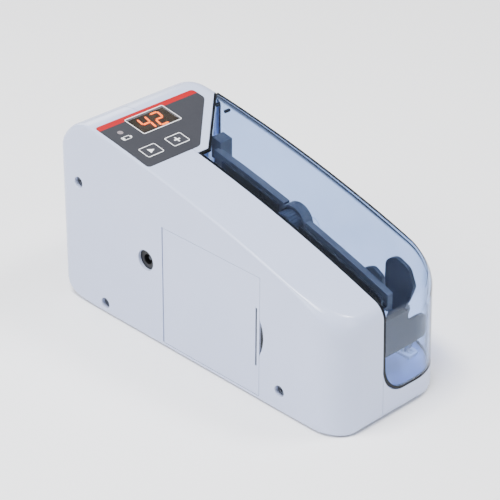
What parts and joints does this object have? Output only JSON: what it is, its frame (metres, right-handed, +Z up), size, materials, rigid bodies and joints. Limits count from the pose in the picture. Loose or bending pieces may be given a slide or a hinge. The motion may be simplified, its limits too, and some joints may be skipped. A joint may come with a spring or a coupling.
{
  "type": "hand-held banknote counter",
  "caption": "Portable note counter: wedge-shaped white clamshell with a clear side cover over the note clamp, battery door, display and keys.",
  "frame": {"origin": "bottom centre of the whole object's box, on the plane of the rubber feet", "axes": "+X along the length towards the low front end, +Y across towards the clear cover, +Z up"},
  "size_m": [0.1999, 0.0826, 0.1042],
  "materials": {
    "white_shell": "fine satin moulded plastic",
    "inner_white": "satin moulded plastic",
    "clear_blue": "clear smoke-blue acrylic",
    "dark_grey": "dark grey satin plastic",
    "panel_film": "printed satin film with a red stripe",
    "key_film": "printed satin film",
    "smoke_window": "smoked clear window",
    "black_plastic": "black moulded plastic",
    "gear_white": "acetal",
    "steel": "bright steel",
    "plated": "nickel plate",
    "brass": "turned brass",
    "rubber": "soft black rubber",
    "cell_wrap": "printed cell jacket",
    "board_green": "solder-masked board",
    "red_lens": "red lens",
    "red_lead": "insulated lead",
    "black_lead": "insulated lead"
  },
  "bodies": {
    "housing": {"left_housing": "white_shell", "right_housing": "white_shell", "mechanism_plate": "inner_white", "battery_tray": "inner_white", "cover_hinge_pins": "steel", "note_cradle": "dark_grey", "fixed_jaw": "dark_grey", "jaw_bracket": "dark_grey", "jaw_pin": "steel", "jaw_spring": "steel", "front_guide": "dark_grey", "sensor_window": "black_plastic", "sensor_emitter": "black_plastic", "sensor_receiver": "black_plastic", "battery_springs": "plated", "battery_contacts": "plated", "aa_cells": "cell_wrap", "dc_jack": "black_plastic", "dc_jack_pin": "plated", "panel_overlay": "panel_film", "display_window": "smoke_window", "display_module": "black_plastic", "low_battery_led": "red_lens", "control_board": "board_green", "processor_chip": "black_plastic", "buzzer": "black_plastic", "key_switches": "black_plastic", "motor": "steel", "motor_bracket": "steel", "idler_axle": "steel", "shaft_bush": "brass", "motor_leads": "red_lead", "battery_leads": "black_lead", "rubber_feet": "rubber", "housing_screws": "steel", "plate_screws": "steel", "motor_screws": "steel", "board_screws": "steel", "cradle_screws": "steel", "bracket_screws": "steel"},
    "cover": {"clear_cover": "clear_blue"},
    "door": {"battery_door": "white_shell"},
    "start_button": {"start_key": "key_film"},
    "add_button": {"add_key": "key_film"},
    "spindle": {"main_shaft": "steel", "output_gear": "gear_white", "feed_wheel": "dark_grey", "feed_tyre": "rubber"},
    "idler": {"idler_gear": "gear_white"},
    "rotor": {"motor_pinion": "brass"},
    "jaw": {"clamp_jaw": "dark_grey"}
  },
  "joints": [
    {"name": "cover_hinge", "type": "hinge", "parent": "housing", "child": "cover", "pos_m": [0, 0.03905, 0.01495], "axis": [-1, 0, 0], "range_deg": [0, 95]},
    {"name": "door_hinge", "type": "hinge", "parent": "housing", "child": "door", "pos_m": [-0.0204, -0.04025, 0.036], "axis": [0, 0, -1], "range_deg": [0, 100]},
    {"name": "start_press", "type": "slide", "parent": "housing", "child": "start_button", "axis": [-0.1625, 0, -0.9867], "range_m": [0, 0.0004], "stiffness_N_per_m": 1500, "springref_m": -0.0002},
    {"name": "add_press", "type": "slide", "parent": "housing", "child": "add_button", "axis": [-0.1625, 0, -0.9867], "range_m": [0, 0.0004], "stiffness_N_per_m": 1500, "springref_m": -0.0002},
    {"name": "spindle_spin", "type": "hinge", "parent": "housing", "child": "spindle", "pos_m": [0.024, -0.017, 0.072], "axis": [0, 1, 0], "continuous": true},
    {"name": "idler_spin", "type": "hinge", "parent": "housing", "child": "idler", "pos_m": [0.04153, -0.017, 0.05446], "axis": [0, 1, 0], "continuous": true},
    {"name": "rotor_spin", "type": "hinge", "parent": "housing", "child": "rotor", "pos_m": [0.0628, -0.017, 0.0507], "axis": [0, 1, 0], "continuous": true},
    {"name": "jaw_swing", "type": "hinge", "parent": "housing", "child": "jaw", "pos_m": [0.0725, 0.02775, 0.0177], "axis": [1, 0, 0], "range_deg": [0, 15], "stiffness_Nm_per_rad": 0.03, "springref_deg": -5.73}
  ],
  "couplings": [
    {"joint": "idler_spin", "follows": "spindle_spin", "ratio": -0.47619},
    {"joint": "rotor_spin", "follows": "spindle_spin", "ratio": 1.6667}
  ]
}
